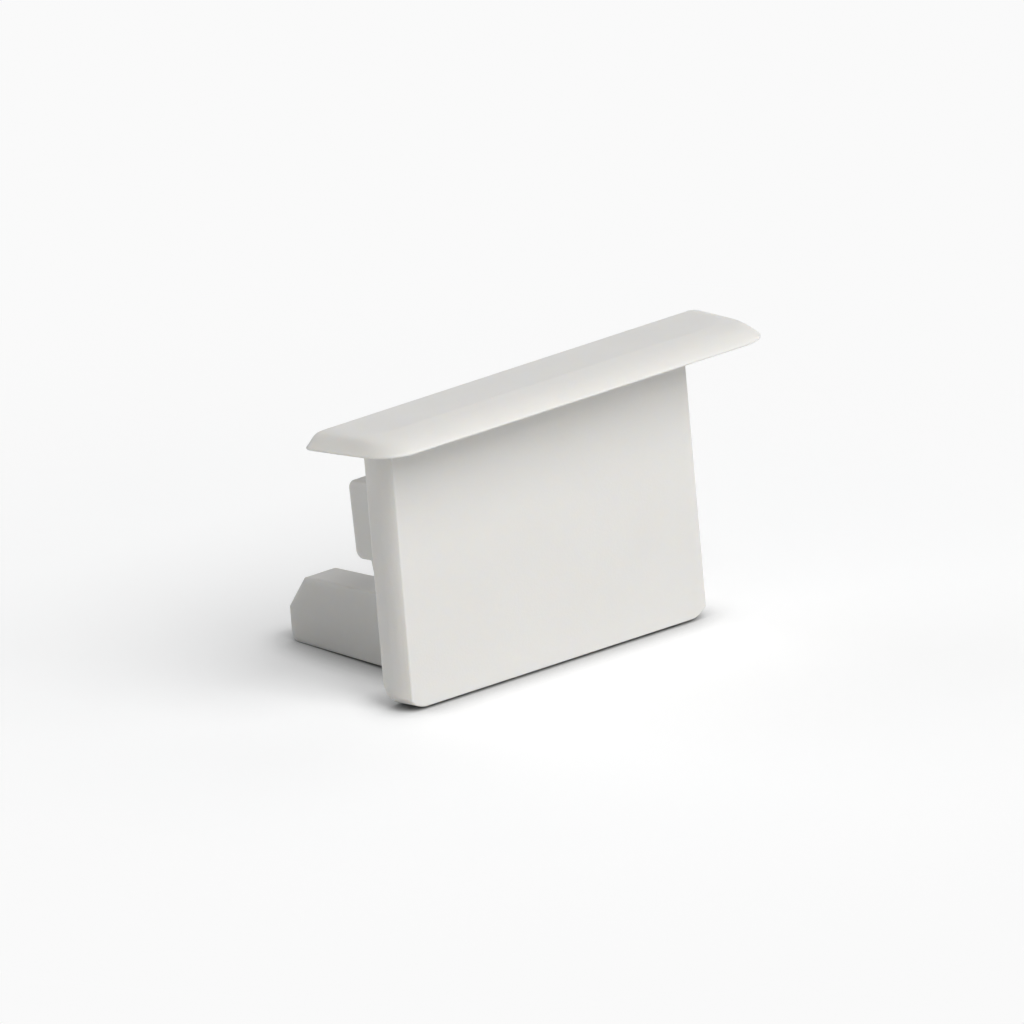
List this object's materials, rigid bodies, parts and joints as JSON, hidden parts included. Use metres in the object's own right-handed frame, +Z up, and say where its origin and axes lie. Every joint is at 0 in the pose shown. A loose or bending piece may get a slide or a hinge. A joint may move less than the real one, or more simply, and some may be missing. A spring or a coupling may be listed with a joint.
{
  "type": "profile end cap",
  "caption": "Moulded end cap for an extruded profile: a flat plate under a low crowned flange, with drafted plug prongs and small tabs on the rear side.",
  "frame": {"origin": "on the floor under the middle of the cap's bounding box, with the cap standing by itself on the foot of its plate and the toes of its prongs", "axes": "+X along the flange, +Y to the rear, where the prongs and tabs enter the profile, +Z up; the plate leans back by about 6 degrees"},
  "size_m": [0.0298, 0.0158, 0.0164],
  "materials": {
    "body_plastic": "satin"
  },
  "bodies": {
    "root": {"end_cap": "body_plastic"}
  },
  "joints": []
}
